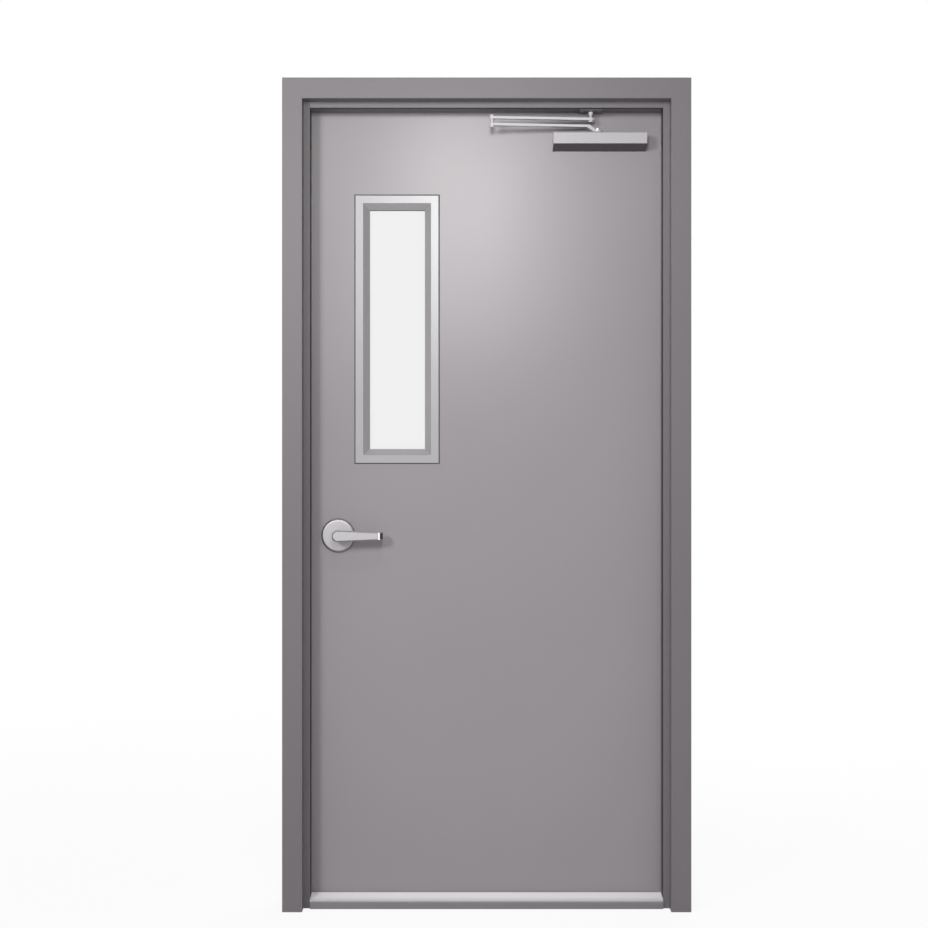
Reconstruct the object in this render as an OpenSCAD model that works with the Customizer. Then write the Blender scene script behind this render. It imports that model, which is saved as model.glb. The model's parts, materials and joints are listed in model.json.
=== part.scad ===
// Steel door leaf with a narrow vision lite, hung in a welded steel frame.
// A lever set works its latch, and a closer with a folding arm shuts it.
// X runs along the wall, Y goes through it from the push side, and Z is up.
// The origin is on the floor, in the middle of the opening and of the frame's depth.

/* [Frame] */
// Width over the two jambs
frame_w = 1020; // [900:1:1300]
// Height from the floor to the top of the head
frame_h = 2080; // [1950:1:2500]
// Width of a jamb's face
jamb_face = 50; // [45:1:65]
// Height of the head's face
head_face = 52; // [45:1:100]
// Thickness of the frame's folded sheet
frame_sheet = 1.6; // [1.2:0.1:2]
// Depth of the rabbet on the push side
push_rabbet = 40; // [36:1:60]
// Width of the stop between the two rabbets
stop_w = 57; // [54:1:90]
// Height of the stop over the rabbets
stop_h = 16; // [14:0.5:20]
// Depth of the returns that grip the wall
wall_return = 14; // [8:1:20]

/* [Leaf] */
// Thickness of the leaf
leaf_t = 44.5; // [42:0.5:50]
// Thickness of the leaf's two skins
leaf_skin = 1.2; // [0.8:0.1:1.6]
// Gap between the leaf and the frame at the sides and the top
edge_gap = 3; // [2.5:0.1:5]
// Height of the leaf's lower edge over the floor
leaf_lift = 16; // [15:0.5:25]
// Room for the seal between the stop and the leaf
seal_gap = 3.5; // [3:0.1:5]
// How far the leaf lies behind the frame's pull face
pull_set = 1; // [0.5:0.1:3]
// Thickness of the channels in the leaf's edges
channel_t = 2; // [1.6:0.1:3]
// Depth of the channels in the leaf's edges
channel_d = 26; // [22:1:34]

/* [Vision lite] */
// Distance from the lock edge to the middle of the lite
lite_from_edge = 230; // [190:1:400]
// Distance from the leaf's top to the middle of the lite
lite_drop = 565; // [525:1:645]
// Width over the lite's trim
trim_w = 213; // [160:1:260]
// Height over the lite's trim
trim_h = 682; // [500:1:740]
// Width of the trim's flat rim
trim_flat = 20; // [18:0.5:26]
// Width of the slope between the rim and the glass
trim_bevel = 16; // [10:0.5:20]
// How far the trim's rim stands off the leaf
trim_proud = 3; // [2:0.1:5]
// Thickness of the trim's sloping sheet
trim_sheet = 1.5; // [1:0.1:1.6]
// Thickness of the glass
glass_t = 6.4; // [5:0.1:8]

/* [Lever set] */
// Distance from the lock edge to the lever's axis
lever_backset = 80; // [70:1:127]
// Height of the lever's axis
lever_z = 935; // [900:1:1030]
// Diameter of the rose
rose_d = 85; // [70:1:95]
// Thickness of the rose at its middle
rose_t = 11; // [9:0.5:14]
// Length of the lever from its axis to its end
lever_len = 115; // [100:1:130]
// Height of the lever at its hub
lever_hub_h = 27.5; // [27:0.5:32]
// Height of the lever at its end
lever_tip_h = 18.5; // [15:0.5:24]
// Thickness of the lever
lever_t = 13; // [11:0.5:16]
// How far the lever's front stands off the leaf
lever_out = 60; // [54:1:70]
// How far the lever's end turns back to the leaf
lever_return = 30; // [20:1:34]

/* [Closer] */
// Distance from the leaf's hinge edge to the closer's spindle
spindle_from_edge = 175; // [165:1:230]
// Length of the closer's cover
closer_len = 236; // [215:1:260]
// How far the closer's top lies under the leaf's top
closer_drop = 70; // [66:1:90]
// Height of the cover's front face
closer_face_h = 30; // [28:0.5:40]
// How much lower the cover reaches at the leaf
closer_slope = 12.5; // [8:0.5:18]
// How far the cover stands off the leaf
closer_out = 50; // [47:1:60]
// Distance from the leaf to the spindle's axis
spindle_out = 24; // [23:0.5:26]
// Distance along the wall from the spindle to the elbow
arm_reach = 268; // [240:1:300]
// Distance from the leaf to the elbow's axis
elbow_out = 55; // [45:1:100]
// Distance along the wall from the spindle to the shoe's post
shoe_shift = 18; // [14:1:30]
// Distance from the leaf to the shoe's post
shoe_out = 30; // [28:0.5:34]

/* [Hinges] */
// Height of each hinge
hinge_h = 114; // [100:1:127]
// Thickness of the hinge plates
hinge_t = 3.4; // [2.8:0.1:4]
// Diameter of the hinge barrels
barrel_d = 13; // [12:0.5:16]
// Diameter of the hinge pins
pin_d = 7; // [6:0.5:8]
// Distance from the leaf's top to the middle of the top hinge
hinge_top_drop = 190; // [150:1:260]
// Distance from the leaf's foot to the middle of the bottom hinge
hinge_bottom_rise = 290; // [200:1:330]

/* [Threshold] */
// How far the threshold's nose lies behind the frame's push face
threshold_set = 32; // [26:1:34]
// Height of the threshold's nose
nose_h = 21; // [18:0.5:24]
// Height of the lip in front of the leaf
lip_h = 27; // [25:0.5:30]
// Height of the threshold under the leaf
threshold_low = 12.5; // [11:0.1:13.5]

/* [Hidden] */
$fn = 48;

// Overrun of every cut, radial room of a fit, and room between pieces that pass each other
cut = 1;
fit = 0.05;
gap = 0.3;

// Colours
paint_frame = [0.50, 0.48, 0.50];
paint_leaf = [0.57, 0.55, 0.57];
satin = [0.76, 0.75, 0.76];
steel = [0.60, 0.60, 0.61];
dark_steel = [0.35, 0.35, 0.36];
rubber_black = [0.08, 0.08, 0.08];
kraft = [0.72, 0.62, 0.45];
clear_glass = [0.90, 0.94, 0.94, 0.35];

// Places of the frame
half_w = frame_w / 2;
half_open = half_w - jamb_face;
half_clear = half_open - stop_h;
open_h = frame_h - head_face;
soffit = open_h - stop_h;
pull_rabbet = seal_gap + leaf_t + pull_set;
frame_d = push_rabbet + stop_w + pull_rabbet;
front = -frame_d / 2;
back = frame_d / 2;
stop_front = front + push_rabbet;
stop_back = stop_front + stop_w;

// Places of the leaf
half_leaf = half_open - edge_gap;
leaf_face = stop_back + seal_gap;
leaf_back = leaf_face + leaf_t;
leaf_mid = (leaf_face + leaf_back) / 2;
leaf_top = open_h - edge_gap;
core_half = half_leaf - leaf_skin - channel_d;

// Screws: a shank, a countersunk head and its depth
screw_r = 2.4;
screw_head_r = 4.6;
screw_head_h = 2.2;
small_screw_r = 1.9;
small_head_r = 3.6;
small_head_h = 1.4;

// Floor anchors
anchor_t = 3;
anchor_inset = 5;
anchor_hole_r = 4.75;
anchor_spacing = 70;

// Seals
seal_w = 10;
seal_inset = 3;
seal_t = seal_gap - gap;
seal_foot = 1;

// Hinges
barrel_r = barrel_d / 2;
pin_r = pin_d / 2;
barrel_gap = 0.8;
hinge_x = half_open - edge_gap / 2;
hinge_y = back + barrel_r + barrel_gap;
hinge_set = 7;
hinge_inner = leaf_face + hinge_set;
hinge_zs = [
    leaf_top - hinge_top_drop,
    (leaf_top - hinge_top_drop + leaf_lift + hinge_bottom_rise) / 2,
    leaf_lift + hinge_bottom_rise
];
knuckle_count = 5;
knuckle_h = hinge_h / knuckle_count;
leaf_screw_len = 13;
hinge_screw_end = 1;
hinge_screw_shares = [[0.24, -0.38], [0.70, -0.14], [0.70, 0.14], [0.24, 0.38]];
pin_head_r = 5;
pin_head_h = 3;
web_back = 3;
reinforce_t = 5;
reinforce_rim = 16;
reinforce_lap = 8;
frame_screw_len = hinge_t + frame_sheet + reinforce_t - hinge_screw_end;

// Strike
strike_t = frame_sheet;
strike_h = 124;
strike_w = 32;
strike_lip_h = 34;
strike_lip = 1.5;
strike_screw_share = 0.41;
strike_screw_len = 10;
strike_rim = 8;
strike_pad = 3;
strike_box_d = 18;
strike_box_wall = 1.2;
strike_hole_room = 2.5;

// Threshold
nose_r = 9;
nose_step = 10;
lip_gap = 3;
lip_w = 4;
threshold_short = 12;
threshold_back = leaf_back - threshold_short;
threshold_tail_h = 6;
threshold_tail = 10;
threshold_rib = 14;
threshold_groove_h = 7;
threshold_wall = 12;
threshold_screw_len = 10;
threshold_screw_shares = [-0.44, -0.15, 0.15, 0.44];

// Vision lite
lite_x = -half_leaf + lite_from_edge;
lite_z = leaf_top - lite_drop;
trim_lap = 12;
cutout_w = trim_w - 2 * trim_lap;
cutout_h = trim_h - 2 * trim_lap;
sight_w = trim_w - 2 * (trim_flat + trim_bevel);
sight_h = trim_h - 2 * (trim_flat + trim_bevel);
tape_t = 3;
tape_w = 8;
glass_bite = 11;
bevel_d = trim_proud + (leaf_t - glass_t) / 2 - tape_t;
lite_screw_inset = (trim_lap + trim_flat) / 2;
lite_screw_shares = [-0.44, 0, 0.44];
lite_screw_end = 1;

// Lever set
lever_x = -half_leaf + lever_backset;
hub_r = 13;
rose_edge = 5;
rose_round = 6.5;
rose_steps = 6;
lever_nose = 12;
lever_chamfer = 7.5;
lever_edge = 2.5;
lever_bend = 10;
return_w = 14;
spindle_side = 8;
socket_d = 22;
hub_inset = 1;
chassis_r = 26;
chassis_bore_r = 7;
chassis_room = 1;
lock_bore_r = chassis_r + chassis_room;

// Latch
faceplate_h = 57;
faceplate_w = 28.6;
faceplate_t = 2.4;
faceplate_screw_share = 0.39;
faceplate_screw_len = 9;
case_r = 12;
bolt_w = 12;
bolt_h = 16;
bolt_len = 32;
bolt_bevel = 9;
bolt_throw = 12.7;
bolt_rest = 0.2;

// Closer
closer_top = leaf_top - closer_drop;
closer_low = closer_top - closer_face_h;
spindle_x = half_leaf - spindle_from_edge;
spindle_y = leaf_face - spindle_out;
closer_shift = 5;
closer_x = spindle_x + closer_shift;
cover_wall = 2;
cover_edge = 3;
plate_t = 4;
plate_room = 1;
body_r = 13;
body_end = 8;
boss_r = 11;
closer_spindle_r = 6;
spindle_seat = 4;
closer_screw_len = 22;
closer_screw_x_share = 0.40;
closer_screw_z_share = 0.30;

// Arms
elbow_x = spindle_x - arm_reach;
elbow_y = leaf_face - elbow_out;
shoe_x = spindle_x - shoe_shift;
shoe_y = leaf_face - shoe_out;
arm_t = 6;
hub_lift = 2;
hub_z = closer_top + hub_lift;
arm_lift = 11.5;
arm_spacing = 17;
main_z = hub_z + arm_lift;
fore_z = main_z + arm_spacing;
arm_hub_r = 11;
arm_root_r = 9;
arm_tip_r = 5.8;
joggle_start = 6;
joggle_end = 22;
main_len = norm([elbow_x - spindle_x, elbow_y - spindle_y]);
main_turn = atan2(elbow_y - spindle_y, elbow_x - spindle_x);
fore_len = norm([elbow_x - shoe_x, elbow_y - shoe_y]);
fore_turn = atan2(elbow_y - shoe_y, elbow_x - shoe_x);
spool_waist_r = 3.6;
spool_flange_r = 6;
spool_flange_h = 2.5;
spool_end = 4;
spool_steps = 8;
elbow_split = (main_z + arm_t + fore_z) / 2;
arm_screw_head_r = 6;
arm_screw_head_h = 3;
arm_screw_r = 3;
arm_screw_len = 12;

// Shoe
shoe_w = 58;
shoe_d = 40;
shoe_t = 4;
post_r = 4.7;
post_head_r = 6.5;
post_head_h = 3;
post_neck_r = 3.5;
post_collar_r = 6;
post_collar_h = 6;
post_flare = 4;
shoe_screw_share = 0.36;
shoe_screw_len = 11;

// Shapes that several pieces share

// A flat shape drawn in X and Z, as a slab between two depths
module slab(y0, y1) {
    translate([0, y1, 0]) rotate([90, 0, 0]) linear_extrude(y1 - y0) children();
}

// A box between two corners
module block(low, high) {
    translate(low) cube(high - low);
}

// A straight taper between two centred rectangles, the first at zero
module frustum(first, last, h) {
    corner_shares = [[-1, -1], [1, -1], [1, 1], [-1, 1]] / 2;
    sides = [for (k = [0 : 3]) [k, k + 4, (k + 1) % 4 + 4, (k + 1) % 4]];
    polyhedron(
        concat([for (c = corner_shares) [c[0] * first[0], c[1] * first[1], 0]],
            [for (c = corner_shares) [c[0] * last[0], c[1] * last[1], h]]),
        concat([[0, 1, 2, 3], [7, 6, 5, 4]], sides)
    );
}

// A countersunk screw with its head flush at zero and its shank going down
module screw(r, head_r, head_h, len, room = 0) {
    translate([0, 0, -head_h]) cylinder(r1 = r + room, r2 = head_r + room, h = head_h);
    translate([0, 0, -len - room]) cylinder(r = r + room, h = len);
    if (room > 0) cylinder(r = head_r + room, h = cut);
}

module plain_screw(len, room = 0) {
    screw(screw_r, screw_head_r, screw_head_h, len, room);
}

module small_screw(len, room = 0) {
    screw(small_screw_r, small_head_r, small_head_h, len, room);
}

// Frame

// Section of the folded sheet: zero is the rabbet, and the stop lies below it
module frame_profile(face) {
    difference() {
        union() {
            translate([0, front]) square([face, frame_d]);
            translate([-stop_h, stop_front]) square([stop_h + frame_sheet, stop_w]);
        }
        translate([frame_sheet, front + frame_sheet]) square([face, frame_d - 2 * frame_sheet]);
        translate([frame_sheet - stop_h, stop_front + frame_sheet])
            square([stop_h + frame_sheet, stop_w - 2 * frame_sheet]);
    }
    for (y = [front, back - wall_return])
        translate([face - frame_sheet, y]) square([frame_sheet, wall_return]);
}

// A jamb on the right, with its top cut to the mitre
module jamb_blank() {
    difference() {
        translate([half_open, 0, 0]) linear_extrude(frame_h) frame_profile(jamb_face);
        slab(front - cut, back + cut) polygon([
            [half_clear - cut, open_h], [half_open, open_h], [half_w, frame_h],
            [half_w, frame_h + cut], [half_clear - cut, frame_h + cut]
        ]);
    }
}

// The pressed pockets that the hinges lie in, grown by a wall and a room
module hinge_pockets(wall, room) {
    for (z = hinge_zs)
        block([half_open - cut, hinge_inner - wall - room, z - hinge_h / 2 - wall - room],
            [half_open + hinge_t + wall + room, back + cut, z + hinge_h / 2 + wall + room]);
}

// Plates welded to the backs of the pockets, tapped for the hinge screws
module hinge_backings() {
    floor_x = half_open + hinge_t + fit + frame_sheet;
    for (z = hinge_zs)
        block([floor_x - frame_sheet / 2, hinge_inner - reinforce_lap, z - hinge_h / 2 - reinforce_rim],
            [floor_x + reinforce_t, back - frame_sheet / 2, z + hinge_h / 2 + reinforce_rim]);
}

module hinge_jamb() {
    color(paint_frame) difference() {
        union() {
            jamb_blank();
            intersection() {
                hinge_pockets(frame_sheet, fit);
                block([half_open, front, 0], [half_w, back, frame_h]);
            }
            hinge_backings();
        }
        hinge_pockets(0, fit);
        frame_hinge_screw_set(fit);
    }
}

module strike_jamb() {
    color(paint_frame) difference() {
        mirror([1, 0, 0]) jamb_blank();
        strike_outline(-half_open - strike_t - fit, -half_open + cut, fit);
    }
}

module frame_head() {
    color(paint_frame) difference() {
        translate([0, 0, open_h]) rotate([0, -90, 0])
            linear_extrude(frame_w, center = true) frame_profile(head_face);
        for (side = [0, 1])
            mirror([side, 0, 0]) slab(front - cut, back + cut) polygon([
                [half_clear, soffit - cut], [half_w + cut, soffit - cut], [half_w + cut, frame_h],
                [half_w, frame_h], [half_open, open_h], [half_clear, open_h]
            ]);
        shoe_screw_set(fit);
    }
}

module floor_anchors() {
    color(dark_steel) for (side = [0, 1])
        mirror([side, 0, 0]) difference() {
            block([half_open + frame_sheet, front + frame_sheet, 0],
                [half_w - anchor_inset, back - frame_sheet, anchor_t]);
            for (y = [-anchor_spacing, anchor_spacing] / 2)
                translate([half_open + jamb_face / 2, y, -cut])
                    cylinder(r = anchor_hole_r, h = anchor_t + 2 * cut);
        }
}

// Strike

// Outline of the strike plate with its lip to the pull side, between two places along X
module strike_outline(x0, x1, room) {
    block([x0, leaf_mid - strike_w / 2 - room, lever_z - strike_h / 2 - room],
        [x1, leaf_mid + strike_w / 2 + room, lever_z + strike_h / 2 + room]);
    block([x0, leaf_mid, lever_z - strike_lip_h / 2 - room],
        [x1, back + strike_lip + room, lever_z + strike_lip_h / 2 + room]);
}

// The window that the bolt is thrown into
module strike_window(x0, x1) {
    block([x0, leaf_mid - bolt_w / 2 - strike_hole_room, lever_z - bolt_h / 2 - strike_hole_room],
        [x1, leaf_mid + bolt_w / 2 + strike_hole_room, lever_z + bolt_h / 2 + strike_hole_room]);
}

module strike_screw_set(room) {
    for (side = [-1, 1])
        translate([-half_open, leaf_mid, lever_z + side * strike_screw_share * strike_h])
            rotate([0, 90, 0]) plain_screw(strike_screw_len, room);
}

module strike_plate() {
    color(satin) difference() {
        strike_outline(-half_open - strike_t, -half_open, 0);
        strike_window(-half_open - strike_t - cut, -half_open + cut);
        strike_screw_set(fit);
    }
}

module strike_screws() {
    color(steel) strike_screw_set(0);
}

// A welded pad behind the strike, with a box that the bolt is thrown into
module strike_box() {
    pad_x = -half_open - strike_t;
    box_x = pad_x - strike_pad - strike_box_d;
    color(dark_steel) difference() {
        union() {
            block([pad_x - strike_pad, leaf_mid - strike_w / 2 - strike_rim,
                    lever_z - strike_h / 2 - strike_rim],
                [pad_x, back - frame_sheet, lever_z + strike_h / 2 + strike_rim]);
            bolt_box(box_x, pad_x);
        }
        strike_window(box_x + strike_box_wall, pad_x + cut);
        strike_screw_set(fit);
    }
}

// Outer walls of the strike's box
module bolt_box(x0, x1) {
    side_y = bolt_w / 2 + strike_hole_room + strike_box_wall;
    side_z = bolt_h / 2 + strike_hole_room + strike_box_wall;
    block([x0, leaf_mid - side_y, lever_z - side_z], [x1, leaf_mid + side_y, lever_z + side_z]);
}

// Seals on the back of the stop

module side_seal() {
    block([half_clear + seal_inset, stop_back, lip_h + seal_foot],
        [half_clear + seal_inset + seal_w, stop_back + seal_t, soffit]);
}

module hinge_side_seal() {
    color(rubber_black) side_seal();
}

module strike_side_seal() {
    color(rubber_black) mirror([1, 0, 0]) side_seal();
}

module head_seal() {
    color(rubber_black) block([-half_clear, stop_back, soffit + seal_inset],
        [half_clear, stop_back + seal_t, soffit + seal_inset + seal_w]);
}

// Threshold

// Section in depth and height, with a round nose and a lip in front of the leaf
module threshold_section() {
    nose = front + threshold_set;
    lip = leaf_face - lip_gap;
    round_nose = [for (a = [180 : -nose_step : 90])
        [nose + nose_r + nose_r * cos(a), nose_h - nose_r + nose_r * sin(a)]];
    difference() {
        polygon(concat([[nose, 0]], round_nose, [
            [lip - lip_w, lip_h], [lip, lip_h], [lip, threshold_low],
            [threshold_back - threshold_tail, threshold_low], [threshold_back, threshold_tail_h],
            [threshold_back, 0]
        ]));
        translate([nose + threshold_wall, -cut])
            square([-threshold_rib / 2 - nose - threshold_wall, threshold_groove_h + cut]);
        translate([threshold_rib / 2, -cut])
            square([lip - threshold_wall - threshold_rib / 2, threshold_groove_h + cut]);
    }
}

module threshold_screw_set(room) {
    lip = leaf_face - lip_gap;
    for (share = threshold_screw_shares)
        translate([share * 2 * half_open, (lip + threshold_back - threshold_tail) / 2, threshold_low])
            plain_screw(threshold_screw_len, room);
}

module threshold() {
    color(satin) difference() {
        rotate([90, 0, 90]) linear_extrude(2 * (half_open - fit), center = true) threshold_section();
        for (side = [0, 1])
            mirror([side, 0, 0])
                block([half_clear - fit, stop_front - fit, -cut],
                    [half_open + cut, stop_back + fit, lip_h + cut]);
        threshold_screw_set(fit);
    }
}

module threshold_screws() {
    color(steel) threshold_screw_set(0);
}

// Leaf

// Cuts that go through the leaf: the lite, the lock and the two edges' fittings
module leaf_cuts() {
    block([lite_x - cutout_w / 2, leaf_face - cut, lite_z - cutout_h / 2],
        [lite_x + cutout_w / 2, leaf_back + cut, lite_z + cutout_h / 2]);
    translate([lever_x, leaf_back + cut, lever_z]) rotate([90, 0, 0])
        cylinder(r = lock_bore_r, h = leaf_t + 2 * cut);
    translate([-half_leaf - cut, leaf_mid, lever_z]) rotate([0, 90, 0])
        cylinder(r = case_r + fit, h = lever_backset);
    for (z = hinge_zs)
        block([half_leaf - hinge_t - fit, hinge_inner - fit, z - hinge_h / 2 - fit],
            [half_leaf + cut, leaf_back + cut, z + hinge_h / 2 + fit]);
    block([-half_leaf - cut, leaf_mid - faceplate_w / 2 - fit, lever_z - faceplate_h / 2 - fit],
        [-half_leaf + faceplate_t + fit, leaf_mid + faceplate_w / 2 + fit,
            lever_z + faceplate_h / 2 + fit]);
    latch_screw_set(fit);
    leaf_hinge_screw_set(fit);
    closer_screw_set(fit);
}

// A skin with its two edges folded round to the middle of the leaf's thickness
module skin_blank() {
    translate([0, 0, leaf_lift]) linear_extrude(leaf_top - leaf_lift) difference() {
        translate([-half_leaf, leaf_face]) square([2 * half_leaf, leaf_t / 2 - gap / 2]);
        translate([-half_leaf + leaf_skin, leaf_face + leaf_skin])
            square([2 * (half_leaf - leaf_skin), leaf_t]);
    }
}

module leaf_push_skin() {
    color(paint_leaf) difference() {
        skin_blank();
        leaf_cuts();
    }
}

module leaf_pull_skin() {
    color(paint_leaf) difference() {
        translate([0, 2 * leaf_mid, 0]) mirror([0, 1, 0]) skin_blank();
        leaf_cuts();
    }
}

module leaf_core() {
    color(kraft) difference() {
        block([-core_half, leaf_face + leaf_skin, leaf_lift + channel_d],
            [core_half, leaf_back - leaf_skin, leaf_top - channel_d]);
        leaf_cuts();
    }
}

// A channel along the leaf's top, with its web upward
module end_channel() {
    half = half_leaf - leaf_skin;
    difference() {
        block([-half, leaf_face + leaf_skin, leaf_top - channel_d],
            [half, leaf_back - leaf_skin, leaf_top]);
        block([-half - cut, leaf_face + leaf_skin + channel_t, leaf_top - channel_d - cut],
            [half + cut, leaf_back - leaf_skin - channel_t, leaf_top - channel_t]);
    }
}

module leaf_top_channel() {
    color(dark_steel) end_channel();
}

module leaf_bottom_channel() {
    color(dark_steel) translate([0, 0, leaf_lift + leaf_top]) mirror([0, 0, 1]) end_channel();
}

// A channel in the leaf's right edge, with a web of its own thickness
module edge_channel(web) {
    outer = half_leaf - leaf_skin;
    z0 = leaf_lift + channel_d;
    z1 = leaf_top - channel_d;
    difference() {
        block([core_half, leaf_face + leaf_skin, z0], [outer, leaf_back - leaf_skin, z1]);
        block([core_half - cut, leaf_face + leaf_skin + channel_t, z0 - cut],
            [outer - web, leaf_back - leaf_skin - channel_t, z1 + cut]);
    }
}

module leaf_hinge_channel() {
    color(dark_steel) difference() {
        edge_channel(hinge_t - leaf_skin + web_back);
        leaf_cuts();
    }
}

module leaf_lock_channel() {
    color(dark_steel) difference() {
        mirror([1, 0, 0]) edge_channel(faceplate_t - leaf_skin + channel_t);
        leaf_cuts();
    }
}

// Vision lite

// The slope from the rim to the glass, grown by a wall
module lite_slope(wall) {
    wide = [sight_w + 2 * (trim_bevel + wall), sight_h + 2 * (trim_bevel + wall)];
    narrow = [sight_w + 2 * wall, sight_h + 2 * wall];
    translate([0, -trim_proud, 0]) rotate([-90, 0, 0]) frustum(wide, narrow, bevel_d);
}

module lite_screw_set(room) {
    for (side = [-1, 1], share = lite_screw_shares)
        translate([lite_x + side * (trim_w / 2 - lite_screw_inset), leaf_back + trim_proud,
                lite_z + share * trim_h])
            rotate([-90, 0, 0]) small_screw(leaf_t + 2 * trim_proud - lite_screw_end, room);
}

// A trim on the push face: a flat rim and a folded sheet that slopes to the glass
module lite_trim() {
    slope_w = sight_w + 2 * trim_bevel;
    slope_h = sight_h + 2 * trim_bevel;
    difference() {
        union() {
            block([-trim_w / 2, -trim_proud, -trim_h / 2], [trim_w / 2, 0, trim_h / 2]);
            lite_slope(trim_sheet);
        }
        lite_slope(0);
        block([-slope_w / 2, -trim_proud - cut, -slope_h / 2], [slope_w / 2, -trim_proud, slope_h / 2]);
        block([-sight_w / 2, -trim_proud, -sight_h / 2], [sight_w / 2, bevel_d + cut, sight_h / 2]);
    }
}

module on_push_face() {
    translate([lite_x, leaf_face, lite_z]) children();
}

module on_pull_face() {
    translate([lite_x, leaf_back, lite_z]) mirror([0, 1, 0]) children();
}

module lite_tape() {
    depth = bevel_d - trim_proud;
    difference() {
        block([-sight_w / 2 - tape_w, depth, -sight_h / 2 - tape_w],
            [sight_w / 2 + tape_w, depth + tape_t, sight_h / 2 + tape_w]);
        block([-sight_w / 2, depth - cut, -sight_h / 2], [sight_w / 2, depth + tape_t + cut, sight_h / 2]);
    }
}

module lite_push_trim() {
    color(satin) difference() {
        on_push_face() lite_trim();
        lite_screw_set(fit);
    }
}

module lite_pull_trim() {
    color(satin) difference() {
        on_pull_face() lite_trim();
        lite_screw_set(fit);
    }
}

module lite_push_tape() {
    color(rubber_black) on_push_face() lite_tape();
}

module lite_pull_tape() {
    color(rubber_black) on_pull_face() lite_tape();
}

module lite_glass() {
    color(clear_glass) block(
        [lite_x - sight_w / 2 - glass_bite, leaf_mid - glass_t / 2, lite_z - sight_h / 2 - glass_bite],
        [lite_x + sight_w / 2 + glass_bite, leaf_mid + glass_t / 2, lite_z + sight_h / 2 + glass_bite]);
}

module lite_screws() {
    color(steel) lite_screw_set(0);
}

// Lever set

// Frames at the lever's axis, with local Z pointing off the leaf
module at_push_lever() {
    translate([lever_x, leaf_face, lever_z]) rotate([90, 0, 0]) children();
}

module at_pull_lever() {
    translate([lever_x, leaf_back, lever_z]) rotate([-90, 0, 0]) children();
}

// A disc with a rounded rim and a hole for the lever's hub
module rose() {
    rose_r = rose_d / 2;
    flat_r = rose_r - rose_round;
    dome = [for (k = [0 : rose_steps]) [
        flat_r + rose_round * cos(90 * k / rose_steps),
        rose_edge + (rose_t - rose_edge) * sin(90 * k / rose_steps)
    ]];
    rotate_extrude() polygon(concat([[hub_r + fit, 0], [rose_r, 0]], dome, [[hub_r + fit, rose_t]]));
}

// Front outline of the lever, drawn in by a share of its edge
module lever_outline(inset) {
    hub = lever_hub_h / 2 - inset;
    tip = lever_tip_h / 2 - inset;
    polygon([
        [inset - lever_nose, lever_chamfer - hub], [lever_chamfer + inset - lever_nose, -hub],
        [lever_chamfer, -hub], [lever_len - inset, -tip], [lever_len - inset, tip], [lever_chamfer, hub],
        [lever_chamfer + inset - lever_nose, hub], [inset - lever_nose, hub - lever_chamfer]
    ]);
}

// Outline of the lever's end that turns back to the leaf
module return_outline(inset) {
    tip = lever_tip_h / 2 - inset;
    translate([lever_len - return_w + inset, -tip]) square([return_w - 2 * inset, 2 * tip]);
}

module lever() {
    low = lever_out - lever_t;
    difference() {
        union() {
            hull() {
                translate([0, 0, low]) linear_extrude(lever_t) lever_outline(lever_edge);
                translate([0, 0, low + lever_edge])
                    linear_extrude(lever_t - 2 * lever_edge) lever_outline(0);
            }
            hull() {
                translate([0, 0, lever_out - lever_return])
                    linear_extrude(lever_edge) return_outline(lever_edge);
                translate([0, 0, lever_out - lever_return + lever_edge])
                    linear_extrude(lever_return - lever_t / 2 - lever_edge) return_outline(0);
            }
            translate([0, 0, hub_inset]) cylinder(r = hub_r, h = lever_out - lever_t / 2 - hub_inset);
        }
        translate([0, 0, hub_inset + socket_d / 2 - cut / 2])
            cube([spindle_side + 2 * fit, spindle_side + 2 * fit, socket_d + cut], center = true);
        translate([lever_len - lever_bend, 0, lever_out - lever_bend]) rotate([90, 0, 0])
            linear_extrude(lever_tip_h + 2 * cut, center = true) bend_corner();
    }
}

// What the round bend takes off the corner between the lever's bar and its end
module bend_corner() {
    difference() {
        square(lever_bend + cut);
        circle(r = lever_bend);
    }
}

module push_rose() {
    color(satin) at_push_lever() rose();
}

module pull_rose() {
    color(satin) at_pull_lever() rose();
}

module push_lever() {
    color(satin) at_push_lever() lever();
}

module pull_lever() {
    color(satin) at_pull_lever() lever();
}

module lever_spindle() {
    reach = hub_inset + socket_d - cut;
    color(steel) block([lever_x - spindle_side / 2, leaf_face - reach, lever_z - spindle_side / 2],
        [lever_x + spindle_side / 2, leaf_back + reach, lever_z + spindle_side / 2]);
}

module lock_chassis() {
    color(steel) translate([lever_x, leaf_back, lever_z]) rotate([90, 0, 0]) difference() {
        cylinder(r = chassis_r, h = leaf_t);
        translate([0, 0, -cut]) cylinder(r = chassis_bore_r, h = leaf_t + 2 * cut);
    }
}

// Latch

module bolt_room(x0, x1, room) {
    block([x0, leaf_mid - bolt_w / 2 - room, lever_z - bolt_h / 2 - room],
        [x1, leaf_mid + bolt_w / 2 + room, lever_z + bolt_h / 2 + room]);
}

module latch_screw_set(room) {
    for (side = [-1, 1])
        translate([-half_leaf, leaf_mid, lever_z + side * faceplate_screw_share * faceplate_h])
            rotate([0, -90, 0]) small_screw(faceplate_screw_len, room);
}

module latch_case() {
    mouth = -half_leaf + faceplate_t;
    color(steel) difference() {
        translate([mouth, leaf_mid, lever_z]) rotate([0, 90, 0])
            cylinder(r = case_r, h = lever_x - chassis_r - gap - mouth);
        bolt_room(mouth - cut, -half_leaf + bolt_rest + bolt_len + gap, gap);
    }
}

module latch_faceplate() {
    color(satin) difference() {
        block([-half_leaf, leaf_mid - faceplate_w / 2, lever_z - faceplate_h / 2],
            [-half_leaf + faceplate_t, leaf_mid + faceplate_w / 2, lever_z + faceplate_h / 2]);
        bolt_room(-half_leaf - cut, -half_leaf + faceplate_t + cut, gap);
        latch_screw_set(fit);
    }
}

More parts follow.
